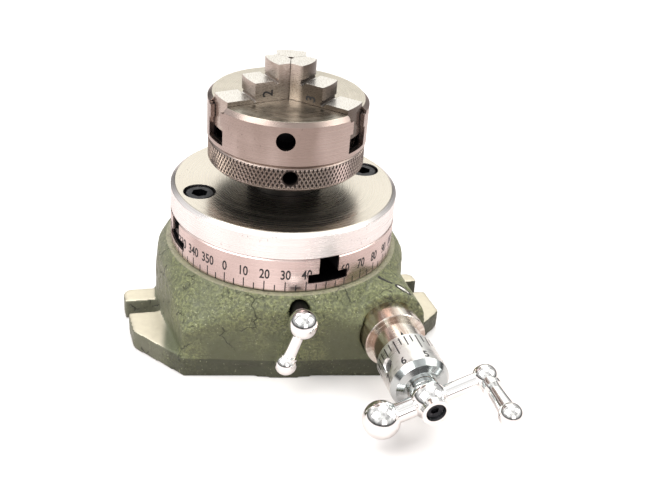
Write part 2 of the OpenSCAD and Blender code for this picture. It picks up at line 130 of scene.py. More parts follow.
CAMERA_AIM = Vector((15.67, 0, 25.95)) * MM
CAMERA_ABOUT = Vector((0, 0, 33)) * MM
CAMERA_AZ = -94.6
CAMERA_EL = 29.15
CAMERA_DISTANCE = 341.9 * MM
CAMERA_ROLL = 4.68
CAMERA_LENS = 52.02
SENSOR_WIDTH = 36
FLOOR_HALF = 3.0
FLOOR_DROP = 0.1 * MM

# The studio's brightness by the height of a direction (0 at the horizon, 1 overhead)
HORIZON = (0.26, 0.25, 0.25, 1)
ZENITH = (1.15, 1.13, 1.12, 1)
SKY_STOPS = ((0.06, 0.10), (0.14, 0.20), (0.30, 0.80), (0.46, 1.15))
BACKDROP = (0.95, 0.95, 0.95, 1)
STUDIO_STRENGTH = 0.75


def direction(azimuth, elevation=0.0):
    """Unit vector at an azimuth about Z and an elevation above the horizon."""
    a, e = math.radians(azimuth), math.radians(elevation)
    return Vector((math.cos(a) * math.cos(e), math.sin(a) * math.cos(e), math.sin(e)))


def make_camera():
    data = bpy.data.cameras.new("camera")
    data.lens = CAMERA_LENS
    data.sensor_width = SENSOR_WIDTH
    data.clip_start = 0.01
    data.clip_end = 20
    camera = bpy.data.objects.new("camera", data)
    bpy.context.scene.collection.objects.link(camera)
    camera.location = CAMERA_ABOUT + direction(CAMERA_AZ, CAMERA_EL) * CAMERA_DISTANCE
    look = (CAMERA_AIM - camera.location).to_track_quat("-Z", "Y").to_matrix()
    roll = Matrix.Rotation(math.radians(CAMERA_ROLL), 3, "Z")
    camera.rotation_euler = (look @ roll).to_euler()
    bpy.context.scene.camera = camera


def area_light(name, azimuth, elevation, distance, size, power, colour):
    """A square soft box that faces the object."""
    data = bpy.data.lights.new(name, "AREA")
    data.shape = "SQUARE"
    data.size = size
    data.energy = power
    data.color = colour
    light = bpy.data.objects.new(name, data)
    bpy.context.scene.collection.objects.link(light)
    light.location = CAMERA_ABOUT + direction(azimuth, elevation) * distance
    light.rotation_euler = (CAMERA_ABOUT - light.location).to_track_quat("-Z", "Y").to_euler()


def make_floor():
    """A wide plane just under the object: white to the eye, duller and pinkish in reflections."""
    h = FLOOR_HALF
    mesh = bpy.data.meshes.new("floor")
    mesh.from_pydata([(-h, -h, 0), (h, -h, 0), (h, h, 0), (-h, h, 0)], [], [(0, 1, 2, 3)])
    floor = bpy.data.objects.new("floor", mesh)
    bpy.context.scene.collection.objects.link(floor)
    floor.location.z = CAD_BOX[0].z - FLOOR_DROP
    shader = Shader("pale_floor", metallic=0.0, roughness=0.6)
    path = shader.node("LightPath")
    mirrored = shader.mix(path.outputs["Is Glossy Ray"], (0.40, 0.34, 0.33), (0.72, 0.66, 0.65))
    seen = path.outputs["Is Camera Ray"]
    shader.set("Base Color", shader.mix(seen, mirrored, (0.93, 0.925, 0.925)))
    mesh.materials.append(shader.material)


def make_world():
    """A pale studio: bright ceiling, a dark band near the horizon, soft darker patches."""
    world = bpy.data.worlds.new("studio")
    bpy.context.scene.world = world
    world.use_nodes = True
    nodes = Nodes(world.node_tree)
    way = nodes.node("TexCoord").outputs["Generated"]
    height = nodes.node("SeparateXYZ", {0: way}).outputs["Z"]
    sky = nodes.node("ValToRGB", {"Fac": height})
    stops = sky.color_ramp.elements
    stops[0].position = 0.0
    stops[0].color = HORIZON
    stops[1].position = 1.0
    stops[1].color = ZENITH
    for position, grey in SKY_STOPS:
        stop = stops.new(position)
        stop.color = (grey, grey * 0.98, grey * 0.97, 1)
    patches = nodes.node("TexNoise", {"Vector": way, "Scale": 2.3, "Detail": 1.0})
    shade = nodes.node("MapRange", {"Value": patches.outputs["Fac"], "From Min": 0.4,
                                    "From Max": 0.62, "To Min": 0.62, "To Max": 1.25})
    shaded = nodes.node("Mix", {0: 1.0, 6: sky.outputs["Color"], 7: shade.outputs[0]},
                        data_type="RGBA", blend_type="MULTIPLY")
    from_camera = nodes.node("LightPath").outputs["Is Camera Ray"]
    seen = nodes.node("Mix", {0: from_camera, 6: shaded.outputs[2], 7: BACKDROP}, data_type="RGBA")
    background = nodes.node("Background", {"Color": seen.outputs[2], "Strength": STUDIO_STRENGTH})
    nodes.node("OutputWorld", {"Surface": background.outputs[0]})


def make_lights():
    """Each soft box: azimuth, elevation, distance, size (degrees, metres), power and colour."""
    area_light("key", -150, 48, 0.62, 0.42, 2.9, (1.0, 0.985, 0.96))
    area_light("front_fill", -80, 20, 0.75, 0.30, 0.8, (1.0, 0.88, 0.87))
    area_light("right_fill", -10, 42, 0.70, 0.35, 1.7, (1.0, 0.97, 0.90))
    area_light("top", 60, 75, 0.62, 0.40, 1.6, (1.0, 1.0, 1.0))
    area_light("back", 85, 33, 0.80, 0.60, 0.75, (1.0, 0.97, 0.88))


# ------------------------------------------------------------------ shader building


class Nodes:
    """An emptied node tree, with short calls that make nodes and link them."""

    def __init__(self, tree):
        self.tree = tree
        tree.nodes.clear()

    def node(self, kind, inputs=None, **settings):
        """A shader node; each input is a constant or the socket that drives it."""
        made = self.tree.nodes.new("ShaderNode" + kind)
        for key, value in settings.items():
            setattr(made, key, value)
        for key, value in (inputs or {}).items():
            self.feed(made.inputs[key], value)
        return made

    def feed(self, socket, value):
        if isinstance(value, bpy.types.NodeSocket):
            self.tree.links.new(value, socket)
        else:
            socket.default_value = value


class Shader(Nodes):
    """One node material under construction, with short calls for the nodes it uses."""

    def __init__(self, name, **constants):
        self.material = bpy.data.materials.new(name)
        self.material.use_nodes = True
        super().__init__(self.material.node_tree)
        self.bsdf = self.node("BsdfPrincipled")
        self.node("OutputMaterial", {"Surface": self.bsdf.outputs[0]})
        for key, value in constants.items():
            self.bsdf.inputs[key.title()].default_value = value
        self.place = self.node("TexCoord").outputs["Object"]

    def set(self, name, value):
        """Feeds an input of the surface shader."""
        self.feed(self.bsdf.inputs[name], value)

    def math(self, operation, a, b=0.0):
        return self.node("Math", {0: a, 1: b}, operation=operation).outputs[0]

    def product(self, *factors):
        result = factors[0]
        for factor in factors[1:]:
            result = self.math("MULTIPLY", result, factor)
        return result

    def vector_math(self, operation, a, b=(0, 0, 0)):
        made = self.node("VectorMath", {0: a, 1: b}, operation=operation)
        return made.outputs["Value" if operation == "DOT_PRODUCT" else "Vector"]

    def scaled(self, vector, factor):
        made = self.node("VectorMath", {0: vector, "Scale": factor}, operation="SCALE")
        return made.outputs["Vector"]

    def stretched(self, x, y, z):
        """The place in the object with each axis scaled, to draw noise out into lines."""
        return self.vector_math("MULTIPLY", self.place, (x, y, z))

    def ramp(self, value, start, end, low=0.0, high=1.0):
        """Smooth change from low to high while value goes from start to end."""
        made = self.node("MapRange", {"Value": value, "From Min": start, "From Max": end,
                                      "To Min": low, "To Max": high})
        made.interpolation_type = "SMOOTHSTEP"
        return made.outputs[0]

    def band(self, value, low, high, soft):
        """1 between low and high, 0 outside, with soft edges."""
        rise = self.ramp(value, low - soft, low + soft)
        fall = self.ramp(value, high - soft, high + soft, 1.0, 0.0)
        return self.product(rise, fall)

    def mix(self, factor, a, b):
        """Colour a where factor is 0, colour b where it is 1."""
        made = self.node("Mix", {0: factor}, data_type="RGBA")
        self.feed(made.inputs[6], rgba(a))
        self.feed(made.inputs[7], rgba(b))
        return made.outputs[2]

    def blend(self, factor, a, b):
        """Number a where factor is 0, number b where it is 1."""
        return self.node("Mix", {0: factor, 2: a, 3: b}, data_type="FLOAT").outputs[0]

    def noise(self, size, vector=None, detail=2.0, roughness=0.5, distortion=0.0):
        """Noise whose features are about size across where vector is a place in metres."""
        made = self.node("TexNoise", {"Scale": 1.0 / size, "Detail": detail,
                                      "Roughness": roughness, "Distortion": distortion})
        self.feed(made.inputs["Vector"], self.place if vector is None else vector)
        return made.outputs["Fac"]

    def cell_edges(self, size, vector):
        """Distance to the nearest border of cells about size across, in cell sizes."""
        made = self.node("TexVoronoi", {"Scale": 1.0 / size, "Vector": vector},
                         feature="DISTANCE_TO_EDGE")
        return made.outputs["Distance"]

    def bump(self, height, distance, normal=None):
        """Normal of a surface whose height share rises by distance, on top of another normal."""
        made = self.node("Bump", {"Height": height, "Distance": distance, "Strength": 1.0})
        if normal is not None:
            self.feed(made.inputs["Normal"], normal)
        return made.outputs["Normal"]

    def soft_edge(self, radius):
        """Normal that rounds sharp edges off by a radius."""
        return self.node("Bevel", {"Radius": radius}, samples=4).outputs["Normal"]

    def xyz(self):
        parts = self.node("SeparateXYZ", {0: self.place})
        return parts.outputs["X"], parts.outputs["Y"], parts.outputs["Z"]

    def facing_up(self):
        """1 where the surface itself looks up."""
        normal = self.node("NewGeometry").outputs["True Normal"]
        return self.ramp(self.vector_math("DOT_PRODUCT", normal, (0, 0, 1)), 0.75, 0.9)


def rgba(colour):
    return colour if isinstance(colour, bpy.types.NodeSocket) else (*colour, 1.0)


class Turning:
    """Cylinder coordinates about an axis for a shader, with the lathe marks that follow them."""

    def __init__(self, shader, foot=ORIGIN, axis=UP, side=Vector((1, 0, 0))):
        self.shader = shader
        self.axis = axis
        across = axis.cross(side)
        from_foot = shader.vector_math("SUBTRACT", shader.place, tuple(foot))
        self.from_foot = from_foot
        self.along = shader.vector_math("DOT_PRODUCT", from_foot, tuple(axis))
        a = shader.vector_math("DOT_PRODUCT", from_foot, tuple(side))
        b = shader.vector_math("DOT_PRODUCT", from_foot, tuple(across))
        squares = shader.math("ADD", shader.product(a, a), shader.product(b, b))
        self.radius = shader.math("SQRT", squares)
        # the direction round the axis as a unit circle, which has no seam
        self.cos = shader.math("DIVIDE", a, self.radius)
        self.sin = shader.math("DIVIDE", b, self.radius)

    def marks(self, width):
        """Fine rings of the given width that fade in and out round the axis."""
        shader = self.shader
        drift = width * 0.6
        rings = shader.node("CombineXYZ", {0: shader.math("ADD", self.radius, self.along),
                                           1: shader.product(self.cos, drift),
                                           2: shader.product(self.sin, drift)})
        return shader.noise(width, rings.outputs[0])

    def streaks(self, count):
        """Painted reflection streaks: soft patches that run across the lathe marks, about count of them in a turn.
        """
        shader = self.shader
        vector = shader.node("CombineXYZ", {0: self.cos, 1: self.sin,
                                            2: shader.product(self.along, 14.0)})
        return shader.noise(2 * math.pi / count, vector.outputs[0])

    def tangent(self):
        """The lathe's cutting direction in the scene, for an anisotropic gloss."""
        shader = self.shader
        round_axis = shader.vector_math("CROSS_PRODUCT", tuple(self.axis), self.from_foot)
        turned = shader.node("VectorTransform", {0: round_axis}, vector_type="VECTOR",
                             convert_from="OBJECT", convert_to="WORLD")
        return turned.outputs[0]


# ------------------------------------------------------------------ materials

OLIVE = (0.100, 0.112, 0.062)
OLIVE_WARM = (0.118, 0.130, 0.075)
# painted highlight colours for the raised clots and grains of the paint
OLIVE_HIGHLIGHT = (0.190, 0.215, 0.100)
OLIVE_GRAIN_HIGHLIGHT = (0.31, 0.335, 0.155)
# painted light for the left flank
OLIVE_LIT_FLANK = (0.175, 0.178, 0.135)
# dark olive for the wrinkles, and painted shade in the pits
OLIVE_DARK = (0.030, 0.035, 0.020)
# painted shade for the foot of the flange
FLANGE_SHADE = (0.036, 0.040, 0.027)
PAINT_GLINT = (0.55, 0.57, 0.36)
BARE_IRON = (0.60, 0.55, 0.43)
BARE_IRON_LIGHT = (0.73, 0.68, 0.54)
# ink colour, which also serves as painted shade inside the tommy bar holes
INK_AND_HOLE_SHADE = (0.012, 0.012, 0.014)

# The shank of the locking screw, painted dark as shade inside its hole: its radius, and where it starts and ends
# along the axis
SHANK_R = 3.4 * MM
SHANK_TOP = -3.9 * MM
SHANK_END = -20 * MM


def bare_iron_share(shader):
    """Where the paint is off: the tops of the lugs, and thinly the rim under the table."""
    x, _, z = shader.xyz()
    beyond = shader.ramp(shader.math("ABSOLUTE", x), LUG_X, LUG_X + 3 * MM)
    at_top = shader.band(z, FLANGE_T - 0.5 * MM, FLANGE_T + 0.5 * MM, 0.2 * MM)
    lug_top = shader.product(at_top, shader.facing_up(), beyond)
    rim_top = shader.ramp(z, CASTING_TOP - 0.25 * MM, CASTING_TOP - 0.1 * MM)
    return shader.math("MAXIMUM", lug_top, shader.product(rim_top, 0.3))


def paint_wrinkles(shader):
    """Thin crooked lines, in patches, where the paint has run."""
    bent = shader.node("TexNoise", {"Vector": shader.place, "Scale": 1 / (4 * MM), "Detail": 3.0})
    offset = shader.scaled(bent.outputs["Color"], 5 * MM)
    edge = shader.cell_edges(10 * MM, shader.vector_math("ADD", shader.place, offset))
    zone = shader.ramp(shader.noise(9 * MM, detail=1.0), 0.55, 0.61)
    return shader.product(shader.ramp(edge, 0.010, 0.030, 1.0, 0.0), zone)


def casting_paint():
    """Thick olive paint over a rough casting: grainy lumps above, runs and wrinkles lower down."""
    shader = Shader("casting_paint", metallic=0.0)
    x, _, z = shader.xyz()
    bare = bare_iron_share(shader)
    wrinkle = paint_wrinkles(shader)

    # clotted paint, stronger towards the top of the casting; the raised clots and grains get painted highlights,
    # and the pits painted shade
    grain = shader.noise(0.9 * MM, detail=3.0, roughness=0.65)
    clots = shader.noise(2.1 * MM, detail=3.0, roughness=0.65, distortion=0.5)
    height_share = shader.ramp(z, 9 * MM, 27 * MM)
    patches = shader.ramp(shader.noise(14 * MM), 0.30, 0.70)
    rough = shader.blend(0.55, height_share, patches)
    clotted = shader.product(shader.ramp(clots, 0.44, 0.62), shader.ramp(rough, 0.2, 0.75))
    grainy = shader.product(shader.ramp(grain, 0.42, 0.66), shader.ramp(rough, 0.15, 0.7))
    pits = shader.product(shader.ramp(shader.noise(1.6 * MM), 0.40, 0.30), rough)
    glint = shader.product(shader.ramp(shader.noise(0.8 * MM, detail=1.0), 0.68, 0.74), rough)

    # painted light and shade: the left flank is painted lighter and greyer, as lit from the left, and the foot of
    # the flange is painted darker as shade everywhere else
    flank = shader.ramp(x, FLANK_X, FLANK_X - 6 * MM)
    foot = shader.product(shader.ramp(z, FLANGE_T, FLANGE_T - 0.6 * MM),
                          shader.math("SUBTRACT", 1, flank))
    base = shader.mix(shader.noise(7 * MM), OLIVE, OLIVE_WARM)
    # painted highlights on the raised clots and grains
    base = shader.mix(shader.product(clotted, 0.6), base, OLIVE_HIGHLIGHT)
    base = shader.mix(shader.product(grainy, 0.6), base, OLIVE_GRAIN_HIGHLIGHT)
    # painted light on the left flank
    base = shader.mix(shader.product(flank, 0.6), base, OLIVE_LIT_FLANK)
    base = shader.mix(shader.product(wrinkle, 0.75), base, OLIVE_DARK)
    # painted shade in the pits
    base = shader.mix(shader.product(pits, 0.7), base, OLIVE_DARK)
    # painted shade along the foot of the flange
    base = shader.mix(shader.product(foot, 0.7), base, FLANGE_SHADE)
    base = shader.mix(shader.product(glint, 0.8), base, PAINT_GLINT)
    iron = shader.mix(shader.noise(2 * MM, detail=3.0), BARE_IRON, BARE_IRON_LIGHT)
    shader.set("Base Color", shader.mix(bare, base, iron))
    shader.set("Metallic", shader.product(bare, 0.6))
    dull = shader.ramp(shader.noise(2.5 * MM, detail=3.0), 0.3, 0.7, 0.38, 0.62)
    shader.set("Roughness", shader.blend(bare, dull, 0.42))

    relief = shader.math("ADD", shader.product(grain, 0.7), shader.product(clotted, 0.8))
    relief = shader.math("SUBTRACT", relief, wrinkle)
    relief = shader.math("SUBTRACT", relief, shader.product(pits, 0.5))
    amount = shader.blend(bare, shader.blend(rough, 0.55, 1.0), 0.05)
    shader.set("Normal", shader.bump(shader.product(relief, amount), 0.35 * MM))
    return shader.material


def steel(name, colour, roughness, anisotropic=0.0, foot=ORIGIN, axis=UP, side=Vector((1, 0, 0)),
          mark=0.09 * MM, depth=0.004 * MM, reflection_tint=None, edge=0.12 * MM, streak_count=9):
    """Turned steel about an axis. Returns the shader, its coordinates, and its colour and
    roughness so far, for the caller to finish."""
    shader = Shader(name, metallic=1.0, anisotropic=anisotropic)
    turning = Turning(shader, foot, axis, side)
    rings = turning.marks(mark)
    reflection_streaks = turning.streaks(streak_count)
    base = shader.mix(shader.ramp(rings, 0.3, 0.7), [c * 0.86 for c in colour], colour)
    # painted reflection: streaks across the lathe marks, mixed towards the reflection tint
    base = shader.mix(shader.product(shader.ramp(reflection_streaks, 0.38, 0.62), 0.8), base,
                      reflection_tint or [c * 0.85 for c in colour])
    gloss = shader.ramp(turning.marks(mark * 2.3), 0.3, 0.7, roughness * 0.8, roughness * 1.2)
    shader.set("Roughness", gloss)
    normal = shader.bump(rings, depth, shader.soft_edge(edge) if edge else None)
    shader.set("Normal", normal)
    if anisotropic:
        shader.set("Tangent", turning.tangent())
    return shader, turning, base, gloss


def flaws(shader):
    """Small dark nicks, longer upwards than across, as on a handled steel edge."""
    spots = shader.ramp(shader.noise(0.5 * MM, shader.stretched(1, 1, 0.35)), 0.66, 0.71)
    where = shader.ramp(shader.noise(11 * MM, detail=1.0), 0.50, 0.60)
    return shader.product(spots, where)


def table_steel():
    """The table: warm turned steel, with painted shade making it black inside its T-slots."""
    shader, turning, base, gloss = steel("table_steel", (0.76, 0.63, 0.60), 0.27, 0.5,
                                         reflection_tint=(0.47, 0.37, 0.35))
    base = shader.mix(shader.product(flaws(shader), 0.4), base, (0.2, 0.17, 0.15))
    # painted shade: black inside the T-slots
    off_rim = shader.ramp(turning.radius, TABLE_R - 0.9 * MM, TABLE_R - 0.4 * MM, 1, 0)
    inside = shader.product(off_rim, shader.band(turning.along, SLOT_FLOOR_Z - 0.2 * MM,
                                                 TABLE_TOP - 0.05 * MM, 0.05 * MM))
    shader.set("Base Color", shader.mix(inside, base, (0.018, 0.018, 0.02)))
    shader.set("Roughness", shader.blend(inside, gloss, 0.55))
    return shader.material


def plate_steel():
    """The backplate: bright rolled edge, turned face painted darker as shade, and a boss painted near-black as
    shade under the chuck.
    """
    shader, turning, base, gloss = steel("plate_steel", (0.93, 0.90, 0.89), 0.27, 0.35,
                                         mark=0.13 * MM, reflection_tint=(0.74, 0.70, 0.69))
    face = shader.ramp(turning.along, PLATE_TOP - 0.3 * MM, PLATE_TOP - 0.1 * MM)
    boss = shader.product(shader.ramp(turning.radius, PLATE_BOSS_R + 0.1 * MM, PLATE_BOSS_R - 0.1 * MM),
                          shader.ramp(turning.along, PLATE_TOP - 0.2 * MM, PLATE_TOP - 0.1 * MM))
    # painted shade on the top face
    base = shader.mix(shader.product(face, 0.8), base, (0.60, 0.56, 0.47))
    base = shader.mix(shader.product(flaws(shader), 0.75), base, (0.10, 0.09, 0.09))
    # painted shade: the boss under the chuck near-black
    shader.set("Base Color", shader.mix(boss, base, (0.034, 0.033, 0.033)))
    shader.set("Roughness", shader.blend(boss, gloss, 0.45))
    return shader.material


def chuck_steel():
    """The chuck body: dark turned side, stained face, and painted shade making it black inside the jaw slots."""
    shader, turning, base, gloss = steel("chuck_steel", (0.45, 0.37, 0.34), 0.28, 0.6,
                                         mark=0.1 * MM, reflection_tint=(0.25, 0.195, 0.17))
    face = shader.ramp(turning.along, CHUCK_FACE - 0.12 * MM, CHUCK_FACE - 0.05 * MM)
    base = shader.mix(face, base, (0.60, 0.56, 0.48))
    stain = shader.ramp(shader.noise(5 * MM, detail=3.0), 0.3, 0.7, 0.25, 0.7)
    front = shader.ramp(shader.xyz()[1], -9 * MM, -15 * MM)
    stained = shader.product(face, stain, shader.blend(front, 0.25, 1.3))
    base = shader.mix(stained, base, (0.15, 0.14, 0.11))
    base = shader.mix(shader.product(flaws(shader), 0.5), base, (0.12, 0.10, 0.09))
    below_face = shader.ramp(turning.along, CHUCK_FACE - 0.9 * MM, CHUCK_FACE - 1.9 * MM)
    hollow = shader.product(shader.ramp(turning.radius, CHUCK_R - 1.1 * MM, CHUCK_R - 1.9 * MM),
                            below_face)
    # painted shade: black inside the jaw slots
    shader.set("Base Color", shader.mix(hollow, base, (0.02, 0.02, 0.022)))
    shader.set("Roughness", shader.blend(hollow, gloss, 0.5))
    return shader.material


def ring_steel():
    """The scroll ring and its knurl: painted shade darkening the pits of the knurl and making the tommy bar holes
    black inside.
    """
    shader, turning, base, gloss = steel("ring_steel", (0.50, 0.42, 0.385), 0.30,
                                         reflection_tint=(0.34, 0.28, 0.25), edge=0.0)
    pit = shader.ramp(turning.radius, RING_R + 0.32 * MM, RING_R + 0.10 * MM)
    knurled = shader.band(turning.along, KNURL_LO + 0.15 * MM, KNURL_HI - 0.15 * MM, 0.1 * MM)
    deep = shader.ramp(turning.radius, RING_R - 0.8 * MM, RING_R - 1.6 * MM)
    below_top = shader.ramp(turning.along, KNURL_HI + 0.1 * MM, KNURL_HI - 0.1 * MM)
    # painted shade in the pits of the knurl
    base = shader.mix(shader.product(pit, knurled, 0.96), base, (0.035, 0.029, 0.026))
    # painted shade: black inside the tommy bar holes
    shader.set("Base Color", shader.mix(shader.product(deep, below_top), base, INK_AND_HOLE_SHADE))
    shader.set("Roughness", shader.blend(shader.product(pit, knurled), gloss, 0.6))
    return shader.material


def jaw_steel():
    """Ground jaws: fine straight grinding lines and a few brownish stains."""
    shader = Shader("jaw_steel", metallic=1.0)
    lines = shader.noise(1.2 * MM, shader.stretched(1, 1, 12), detail=3.0)
    stain = shader.ramp(shader.noise(6 * MM, detail=3.0), 0.45, 0.7)
    flank = shader.mix(shader.ramp(lines, 0.3, 0.7), (0.40, 0.34, 0.30), (0.56, 0.49, 0.44))
    flank = shader.mix(shader.product(stain, 0.6), flank, (0.30, 0.24, 0.20))
    ground = shader.noise(1.2 * MM, shader.stretched(6, 0.5, 1))
    top = shader.mix(shader.ramp(ground, 0.3, 0.7), (0.68, 0.66, 0.62), (0.80, 0.78, 0.74))
    # painted shade: the jaw flanks on the right of the chuck, away from the light, darker
    right_side_shade = shader.ramp(shader.xyz()[0], 2 * MM, 4 * MM)
    flank = shader.mix(shader.product(right_side_shade, 0.9), flank, (0.07, 0.055, 0.045))
    base = shader.mix(shader.facing_up(), flank, top)
    specks = shader.ramp(shader.noise(0.45 * MM, detail=1.0), 0.72, 0.76)
    base = shader.mix(shader.product(specks, 0.5), base, (0.2, 0.18, 0.15))
    shader.set("Base Color", base)
    fine = shader.blend(shader.facing_up(), lines, ground)
    shader.set("Roughness", shader.ramp(fine, 0.3, 0.7, 0.24, 0.34))
    shader.set("Normal", shader.bump(fine, 0.003 * MM, shader.soft_edge(0.12 * MM)))
    return shader.material


def turned_steel():
    """The worm sleeve: bright rings with brown painted reflection streaks across them."""
    shader, _, base, _ = steel("turned_steel", (0.92, 0.88, 0.80), 0.22, 0.6,
                               WORM_FOOT, WORM_OUT, WORM_SIDE, 0.11 * MM,
                               reflection_tint=(0.42, 0.31, 0.25), streak_count=22)
    shader.set("Base Color", base)
    return shader.material


def dial_chrome():
    """Satin chrome round the scale, smoother on the cone at the crank end, where a painted reflection makes it
    darker and bluish.
    """
    shader, turning, base, gloss = steel("dial_chrome", (0.97, 0.97, 0.95), 0.32, 0.4,
                                         WORM_FOOT, WORM_OUT, WORM_SIDE, 0.12 * MM,
                                         reflection_tint=(0.84, 0.85, 0.82))
    cone_lo = DIAL_HI - DIAL_CONE_L
    cone = shader.ramp(turning.along, cone_lo - 0.1 * MM, cone_lo + 0.1 * MM)
    frost = shader.ramp(shader.noise(3 * MM, detail=3.0), 0.5, 0.65, 0.0, 0.12)
    satin = shader.math("ADD", gloss, frost)
    # painted reflection: the cone darker and bluish
    shader.set("Base Color", shader.mix(cone, base, (0.50, 0.54, 0.54)))
    shader.set("Roughness", shader.blend(cone, satin, 0.15))
    return shader.material


def bright_chrome():
    """Polished plating over hand-ground balls, so that reflections waver a little.
    The locking screw is plated too, but its shank inside its hole gets painted shade."""
    shader = Shader("bright_chrome", metallic=1.0)
    waves = shader.noise(3.5 * MM, detail=1.0)
    haze = shader.ramp(shader.noise(1.5 * MM, detail=2.0), 0.5, 0.75, 0.05, 0.13)
    tone = shader.mix(shader.noise(8 * MM, detail=1.0), (0.88, 0.89, 0.88), (0.95, 0.95, 0.94))
    lock = Turning(shader, LOCK_POINT, LOCK_OUT, LOCK_OUT.cross(UP))
    # painted shade on the shank inside its hole
    shank = shader.product(shader.ramp(lock.radius, SHANK_R + 0.1 * MM, SHANK_R),
                           shader.ramp(lock.along, SHANK_TOP, SHANK_TOP - 0.7 * MM),
                           shader.ramp(lock.along, SHANK_END, SHANK_END + MM))
    shader.set("Base Color", shader.mix(shank, tone, (0.02, 0.02, 0.02)))
    shader.set("Roughness", shader.blend(shank, haze, 0.4))
    shader.set("Normal", shader.bump(waves, 0.06 * MM))
    return shader.material


def black_screw():
    """Blackened screws, a little worn."""
    shader = Shader("black_screw", metallic=1.0)
    wear = shader.ramp(shader.noise(0.7 * MM, detail=3.0), 0.55, 0.75)
    shader.set("Base Color", shader.mix(wear, (0.035, 0.036, 0.04), (0.13, 0.13, 0.135)))
    shader.set("Roughness", shader.ramp(shader.noise(0.5 * MM), 0.3, 0.7, 0.30, 0.45))
    shader.set("Normal", shader.bump(shader.noise(0.25 * MM), 0.01 * MM, shader.soft_edge(0.12 * MM)))
    return shader.material


def dark_steel():
    """Oily steel of the parts inside."""
    shader = Shader("dark_steel", metallic=1.0)
    oil = shader.ramp(shader.noise(4 * MM, detail=3.0), 0.35, 0.7)
    shader.set("Base Color", shader.mix(oil, (0.06, 0.06, 0.062), (0.17, 0.165, 0.16)))
    shader.set("Roughness", shader.ramp(shader.noise(1.2 * MM), 0.3, 0.7, 0.32, 0.5))
    shader.set("Normal", shader.bump(shader.noise(0.4 * MM), 0.01 * MM, shader.soft_edge(0.1 * MM)))
    return shader.material


def bronze():
    """Tarnished bronze of the worm wheel and of what rubs on steel."""
    shader = Shader("bronze", metallic=1.0)
    tarnish = shader.ramp(shader.noise(3 * MM, detail=4.0), 0.4, 0.7)
    shader.set("Base Color", shader.mix(tarnish, (0.62, 0.40, 0.18), (0.35, 0.22, 0.11)))
    shader.set("Roughness", shader.ramp(shader.noise(0.8 * MM), 0.3, 0.7, 0.28, 0.45))
    shader.set("Normal", shader.bump(shader.noise(0.3 * MM), 0.01 * MM))
    return shader.material


def ink():
    """Black paint worked into engraved marks, thinner in places."""
    shader = Shader("ink", metallic=0.0)
    worn = shader.ramp(shader.noise(0.6 * MM, detail=2.0), 0.62, 0.75)
    shader.set("Base Color", shader.mix(shader.product(worn, 0.5), INK_AND_HOLE_SHADE, (0.12, 0.10, 0.09)))
    shader.set("Roughness", shader.ramp(shader.noise(0.4 * MM), 0.3, 0.7, 0.45, 0.65))
    return shader.material


def pale_fill():
    """Whitish paint inside the stamped zero."""
    shader = Shader("pale_fill", metallic=0.0)
    shader.set("Base Color", shader.mix(shader.noise(0.8 * MM, detail=2.0), (0.70, 0.68, 0.60),
                                        (0.86, 0.85, 0.80)))
    shader.set("Roughness", shader.ramp(shader.noise(0.5 * MM), 0.3, 0.7, 0.4, 0.6))
    return shader.material


# ------------------------------------------------------------------ flat marks wrapped on surfaces


def rectangle(width, height, columns=1, rows=1):
    """A flat grid centred on the origin."""
    bm = bmesh.new()
    grid = [[bm.verts.new(((i / columns - 0.5) * width, (j / rows - 0.5) * height, 0))
             for i in range(columns + 1)] for j in range(rows + 1)]
    for j in range(rows):
        for i in range(columns):
            bm.faces.new((grid[j][i], grid[j][i + 1], grid[j + 1][i + 1], grid[j + 1][i]))
    return bm


def outline(points):
    """A flat filled polygon, given anticlockwise."""
    bm = bmesh.new()
    bm.faces.new([bm.verts.new((x, y, 0)) for x, y in points])
    return bm


def oval_ring(half_w, half_h, stroke, count=40):
    """A flat oval band; its stroke lies inside the given half sizes."""
    bm = bmesh.new()
    outer, inner = [], []
    for i in range(count):
        c, s = math.cos(2 * math.pi * i / count), math.sin(2 * math.pi * i / count)
        outer.append(bm.verts.new((half_w * c, half_h * s, 0)))
        inner.append(bm.verts.new(((half_w - stroke) * c, (half_h - stroke) * s, 0)))
    for i in range(count):
        j = (i + 1) % count
        bm.faces.new((outer[i], outer[j], inner[j], inner[i]))
    return bm


def oval_disc(half_w, half_h, count=28):
    """A flat filled oval."""
    bm = bmesh.new()
    rim = [bm.verts.new((half_w * math.cos(2 * math.pi * i / count),
                         half_h * math.sin(2 * math.pi * i / count), 0)) for i in range(count)]
    centre = bm.verts.new((0, 0, 0))
    for i in range(count):
        bm.faces.new((centre, rim[i], rim[(i + 1) % count]))
    return bm


def lettering(text, height, squeeze=1.0):
    """Flat digits of the given height, centred on the origin, squeeze times their natural width."""
    curve = bpy.data.curves.new("digits", "FONT")
    curve.body = text
    curve.fill_mode = "FRONT"
    curve.resolution_u = 5
    curve.offset = 0.018
    holder = bpy.data.objects.new("digits", curve)
    bpy.context.scene.collection.objects.link(holder)
    graph = bpy.context.evaluated_depsgraph_get()
    flat = bpy.data.meshes.new_from_object(holder.evaluated_get(graph))
    bm = bmesh.new()
    bm.from_mesh(flat)
    bpy.data.objects.remove(holder)
    bpy.data.curves.remove(curve)
    bpy.data.meshes.remove(flat)
    bmesh.ops.remove_doubles(bm, verts=bm.verts, dist=1e-5)
    xs = [v.co.x for v in bm.verts]
    ys = [v.co.y for v in bm.verts]
    scale = height / (max(ys) - min(ys))
    for v in bm.verts:
        v.co = Vector(((v.co.x - (min(xs) + max(xs)) / 2) * scale * squeeze,
                       (v.co.y - (min(ys) + max(ys)) / 2) * scale, 0))
    return bm


